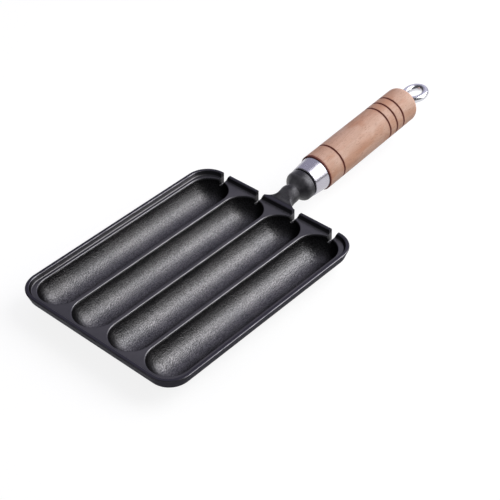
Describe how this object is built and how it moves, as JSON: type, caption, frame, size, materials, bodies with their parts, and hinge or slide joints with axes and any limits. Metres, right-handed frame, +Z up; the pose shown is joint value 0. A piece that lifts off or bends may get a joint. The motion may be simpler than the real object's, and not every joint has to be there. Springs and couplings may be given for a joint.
{
  "type": "sausage pan",
  "caption": "Cast-iron pan with parallel sausage troughs, stick notches in its rim, and a turned wooden handle ending in a steel hanging eye.",
  "frame": {"origin": "middle of the overall length, on the centre line, at the level of the surface the pan rests on", "axes": "+X along the length from the pan towards the hanging eye, +Y across the pan, +Z up out of the troughs"},
  "size_m": [0.345, 0.14, 0.0415],
  "materials": {
    "iron": "seasoned, satin, fine grained",
    "steel": "polished",
    "beech": "sanded and clear coated, with burnt rings",
    "plated_steel": "bright plated"
  },
  "bodies": {
    "root": {"pan": "iron", "ferrule": "steel", "handle": "beech", "eye_bolt": "plated_steel"}
  },
  "joints": []
}
